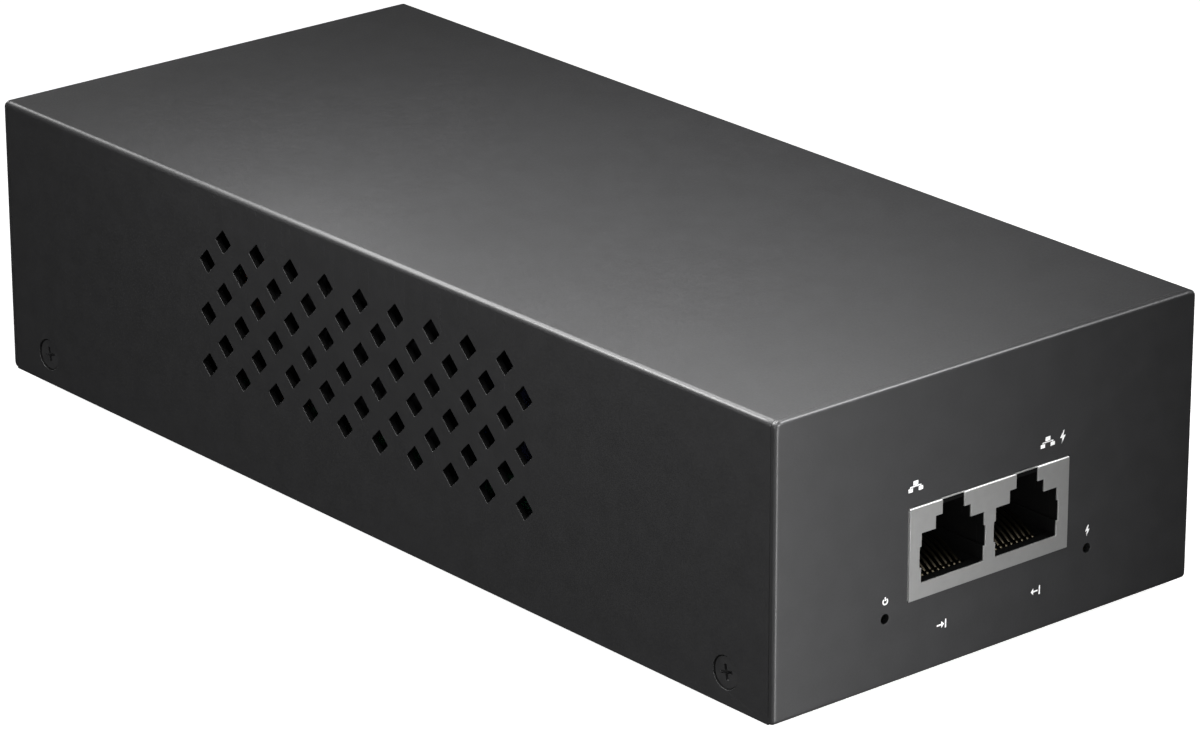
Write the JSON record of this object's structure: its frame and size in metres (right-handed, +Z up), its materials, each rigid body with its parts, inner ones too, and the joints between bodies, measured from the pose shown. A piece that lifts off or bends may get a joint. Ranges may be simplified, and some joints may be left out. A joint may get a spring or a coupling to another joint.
{
  "type": "poe injector",
  "caption": "Black sheet-metal power-over-Ethernet injector: dual network jack and indicator holes in front, vented sides, mains inlet behind, full supply board inside.",
  "frame": {"origin": "on the ground plane under the middle of the whole object's box, jack shield and inlet flange included", "axes": "+Z up; the network ports face -Y and the mains inlet faces +Y; +X is to the right when looking at the ports"},
  "size_m": [0.0792, 0.1822, 0.0455],
  "materials": {
    "case_paint": "fine satin powder coat",
    "black_zinc": "black zinc plate",
    "foot_rubber": "matte",
    "fibre_sheet": "smooth fish paper",
    "brass": "turned",
    "zinc_steel": "bright zinc plate",
    "board_laminate": "green solder mask",
    "shield_nickel": "matte nickel plate",
    "jack_plastic": "moulded",
    "contact_gold": "gold plate",
    "lens_green": "diffused epoxy",
    "lens_amber": "diffused epoxy",
    "tinned_wire": "tin plate",
    "chip_epoxy": "moulded",
    "inlet_plastic": "moulded, satin",
    "blade_nickel": "nickel plate",
    "sleeve_red": "moulded",
    "wire_brown": "PVC insulation",
    "wire_blue": "PVC insulation",
    "wire_green_yellow": "PVC insulation",
    "connector_nylon": "natural nylon",
    "fuse_plastic": "moulded",
    "thermistor_coat": "lacquer",
    "disc_blue": "epoxy dip",
    "film_yellow": "moulded box",
    "ferrite_green": "epoxy coat",
    "copper_enamel": "enamelled copper",
    "can_sleeve": "shrink sleeve",
    "heatsink_aluminium": "mill finish",
    "ferrite_grey": "sintered",
    "bobbin_plastic": "moulded phenolic",
    "winding_tape": "polyester tape"
  },
  "bodies": {
    "injector": {"base_chassis": "case_paint", "top_cover": "case_paint", "cover_screws": "black_zinc", "foot_front_left": "foot_rubber", "foot_front_right": "foot_rubber", "foot_rear_left": "foot_rubber", "foot_rear_right": "foot_rubber", "insulation_sheet": "fibre_sheet", "board_standoffs": "brass", "board_screws": "zinc_steel", "main_board": "board_laminate", "jack_shield": "shield_nickel", "jack_housing": "jack_plastic", "contact_tails_in": "contact_gold", "contact_tails_out": "contact_gold", "power_light": "lens_green", "output_light": "lens_amber", "power_light_leads": "tinned_wire", "output_light_leads": "tinned_wire", "data_transformer_in": "chip_epoxy", "data_transformer_out": "chip_epoxy", "port_controller": "chip_epoxy", "inlet_housing": "inlet_plastic", "line_pin": "blade_nickel", "neutral_pin": "blade_nickel", "earth_pin": "blade_nickel", "inlet_screws": "black_zinc", "inlet_nuts": "zinc_steel", "terminal_sleeves": "sleeve_red", "line_wire": "wire_brown", "neutral_wire": "wire_blue", "earth_wire": "wire_green_yellow", "earth_lug": "blade_nickel", "earth_nut": "zinc_steel", "mains_header": "connector_nylon", "mains_plug": "connector_nylon", "fuse": "fuse_plastic", "inrush_thermistor": "thermistor_coat", "varistor": "disc_blue", "x_capacitor": "film_yellow", "y_capacitors": "disc_blue", "choke_core": "ferrite_green", "choke_windings": "copper_enamel", "bridge_rectifier": "chip_epoxy", "bulk_capacitor": "can_sleeve", "primary_heatsink": "heatsink_aluminium", "switching_transistor": "chip_epoxy", "heatsink_screws": "zinc_steel", "supply_controller": "chip_epoxy", "transformer_core": "ferrite_grey", "transformer_bobbin": "bobbin_plastic", "transformer_winding": "winding_tape", "secondary_heatsink": "heatsink_aluminium", "output_rectifier": "chip_epoxy", "output_capacitors": "can_sleeve", "output_inductor": "copper_enamel", "optocoupler": "chip_epoxy"},
    "input_contacts": {"contact_arms_in": "contact_gold"},
    "output_contacts": {"contact_arms_out": "contact_gold"}
  },
  "joints": [
    {"name": "input_contacts_flex", "type": "hinge", "parent": "injector", "child": "input_contacts", "pos_m": [-0.007, -0.0883, 0.01528], "axis": [1, 0, 0], "range_deg": [-8, 0], "stiffness_Nm_per_rad": 0.47},
    {"name": "output_contacts_flex", "type": "hinge", "parent": "injector", "child": "output_contacts", "pos_m": [0.007, -0.0883, 0.01528], "axis": [1, 0, 0], "range_deg": [-8, 0], "stiffness_Nm_per_rad": 0.47}
  ]
}
